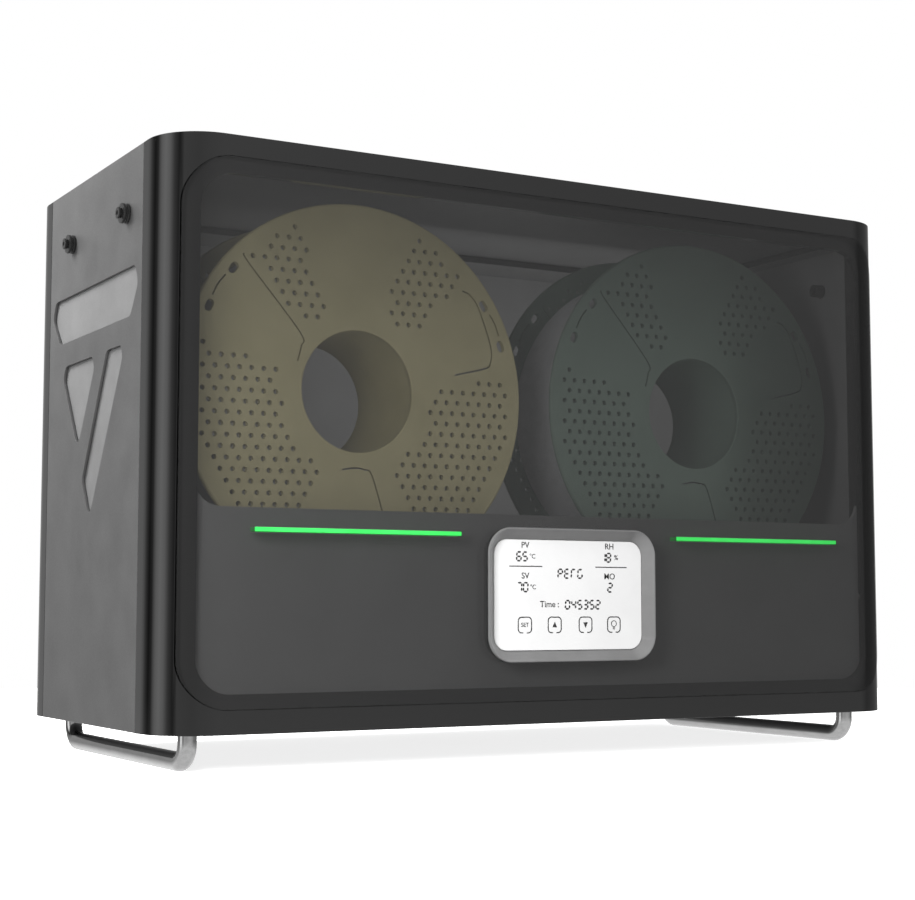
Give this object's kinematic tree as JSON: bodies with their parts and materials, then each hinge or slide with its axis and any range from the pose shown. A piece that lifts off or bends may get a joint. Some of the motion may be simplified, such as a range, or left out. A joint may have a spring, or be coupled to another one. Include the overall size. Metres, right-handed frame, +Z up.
{
  "type": "filament dryer box",
  "caption": "Heated drying box for filament spools with a smoked front window, framed display, hinged top lid, roller beds, side outlets and bent rod feet.",
  "frame": {"origin": "on the ground under the middle of the box, at the level of the foot rods' undersides", "axes": "+X along the width towards the right when facing the window, +Y from the window towards the back, +Z up"},
  "size_m": [0.4714, 0.229, 0.3155],
  "materials": {
    "black_plastic": "matte",
    "bright_steel": "polished",
    "chamber_grey": "matte",
    "circuit_board": "satin",
    "display_white": "gloss",
    "gloss_black_shell": "gloss",
    "green_light": "glowing",
    "grey_green_spool": "satin",
    "heater_aluminium": "satin",
    "lid_black": "matte",
    "olive_spool": "satin",
    "outlet_black": "gloss",
    "pale_grey_backing": "satin",
    "roller_rubber": "matte",
    "satin_grey_panel": "satin",
    "seal_rubber": "matte",
    "silver_bezel": "satin",
    "smoked_window": "gloss",
    "wound_filament": "satin"
  },
  "bodies": {
    "housing": {"bottom_plate": "black_plastic", "chamber_deck": "chamber_grey", "control_board": "circuit_board", "display_bezel": "silver_bezel", "display_screen": "display_white", "fan_frame": "black_plastic", "foot_rod_left": "bright_steel", "foot_rod_right": "bright_steel", "front_baffle": "chamber_grey", "front_shell": "gloss_black_shell", "heater": "heater_aluminium", "hinge_pin_left": "bright_steel", "hinge_pin_right": "bright_steel", "hinge_strip": "lid_black", "humidity_sensor": "circuit_board", "lid_gasket": "seal_rubber", "light_bar_left": "green_light", "light_bar_right": "green_light", "outlet_left_front": "outlet_black", "outlet_left_rear": "outlet_black", "outlet_right_front": "outlet_black", "outlet_right_rear": "outlet_black", "power_board": "circuit_board", "power_inlet": "black_plastic", "rear_shell": "gloss_black_shell", "roller_cradle_front": "black_plastic", "roller_cradle_middle": "black_plastic", "roller_cradle_rear": "black_plastic", "roller_shaft_1": "bright_steel", "roller_shaft_2": "bright_steel", "roller_shaft_3": "bright_steel", "roller_shaft_4": "bright_steel", "side_backing_left": "pale_grey_backing", "side_backing_right": "pale_grey_backing", "side_panel_left": "satin_grey_panel", "side_panel_right": "satin_grey_panel", "top_frame": "black_plastic", "window_pane": "smoked_window"},
    "lid": {"lid": "lid_black"},
    "spool_left": {"spool_left": "olive_spool", "filament_left": "wound_filament"},
    "spool_right": {"spool_right": "grey_green_spool", "filament_right": "wound_filament"},
    "fan_rotor": {"fan_rotor": "black_plastic"},
    "power_switch": {"power_switch": "black_plastic"},
    "roller_front_1": {"roller_front_1": "roller_rubber"},
    "roller_rear_1": {"roller_rear_1": "roller_rubber"},
    "roller_front_2": {"roller_front_2": "roller_rubber"},
    "roller_rear_2": {"roller_rear_2": "roller_rubber"},
    "roller_front_3": {"roller_front_3": "roller_rubber"},
    "roller_rear_3": {"roller_rear_3": "roller_rubber"},
    "roller_front_4": {"roller_front_4": "roller_rubber"},
    "roller_rear_4": {"roller_rear_4": "roller_rubber"},
    "collet_left_front": {"collet_left_front": "outlet_black"},
    "collet_left_rear": {"collet_left_rear": "outlet_black"},
    "collet_right_front": {"collet_right_front": "outlet_black"},
    "collet_right_rear": {"collet_right_rear": "outlet_black"}
  },
  "joints": [
    {"name": "lid_hinge", "type": "hinge", "parent": "housing", "child": "lid", "pos_m": [0, 0.089, 0.312], "axis": [-1, 0, 0], "range_deg": [0, 105]},
    {"name": "spool_left_turn", "type": "hinge", "parent": "housing", "child": "spool_left", "pos_m": [-0.11, -0.043, 0.193], "axis": [0, 1, 0], "continuous": true},
    {"name": "spool_right_turn", "type": "hinge", "parent": "housing", "child": "spool_right", "pos_m": [0.11, -0.043, 0.193], "axis": [0, 1, 0], "continuous": true},
    {"name": "roller_front_1_turn", "type": "hinge", "parent": "housing", "child": "roller_front_1", "pos_m": [-0.17483, -0.043, 0.10376], "axis": [0, 1, 0], "continuous": true},
    {"name": "roller_rear_1_turn", "type": "hinge", "parent": "housing", "child": "roller_rear_1", "pos_m": [-0.17483, 0.0345, 0.10376], "axis": [0, 1, 0], "continuous": true},
    {"name": "roller_front_2_turn", "type": "hinge", "parent": "housing", "child": "roller_front_2", "pos_m": [-0.04517, -0.043, 0.10376], "axis": [0, 1, 0], "continuous": true},
    {"name": "roller_rear_2_turn", "type": "hinge", "parent": "housing", "child": "roller_rear_2", "pos_m": [-0.04517, 0.0345, 0.10376], "axis": [0, 1, 0], "continuous": true},
    {"name": "roller_front_3_turn", "type": "hinge", "parent": "housing", "child": "roller_front_3", "pos_m": [0.04517, -0.043, 0.10376], "axis": [0, 1, 0], "continuous": true},
    {"name": "roller_rear_3_turn", "type": "hinge", "parent": "housing", "child": "roller_rear_3", "pos_m": [0.04517, 0.0345, 0.10376], "axis": [0, 1, 0], "continuous": true},
    {"name": "roller_front_4_turn", "type": "hinge", "parent": "housing", "child": "roller_front_4", "pos_m": [0.17483, -0.043, 0.10376], "axis": [0, 1, 0], "continuous": true},
    {"name": "roller_rear_4_turn", "type": "hinge", "parent": "housing", "child": "roller_rear_4", "pos_m": [0.17483, 0.0345, 0.10376], "axis": [0, 1, 0], "continuous": true},
    {"name": "fan_turn", "type": "hinge", "parent": "housing", "child": "fan_rotor", "pos_m": [0, 0.0375, 0.077], "axis": [0, 0, 1], "continuous": true},
    {"name": "power_switch_rock", "type": "hinge", "parent": "housing", "child": "power_switch", "pos_m": [0.164, 0.107, 0.052], "axis": [1, 0, 0], "range_deg": [0, 16]},
    {"name": "collet_left_front_press", "type": "slide", "parent": "housing", "child": "collet_left_front", "axis": [1, 0, 0], "range_m": [0, 0.0007], "stiffness_N_per_m": 300},
    {"name": "collet_left_rear_press", "type": "slide", "parent": "housing", "child": "collet_left_rear", "axis": [1, 0, 0], "range_m": [0, 0.0007], "stiffness_N_per_m": 300},
    {"name": "collet_right_front_press", "type": "slide", "parent": "housing", "child": "collet_right_front", "axis": [-1, 0, 0], "range_m": [0, 0.0007], "stiffness_N_per_m": 300},
    {"name": "collet_right_rear_press", "type": "slide", "parent": "housing", "child": "collet_right_rear", "axis": [-1, 0, 0], "range_m": [0, 0.0007], "stiffness_N_per_m": 300}
  ],
  "couplings": [
    {"joint": "roller_front_1_turn", "follows": "spool_left_turn", "ratio": -10},
    {"joint": "roller_front_2_turn", "follows": "spool_left_turn", "ratio": -10},
    {"joint": "roller_front_3_turn", "follows": "spool_right_turn", "ratio": -10},
    {"joint": "roller_front_4_turn", "follows": "spool_right_turn", "ratio": -10}
  ]
}
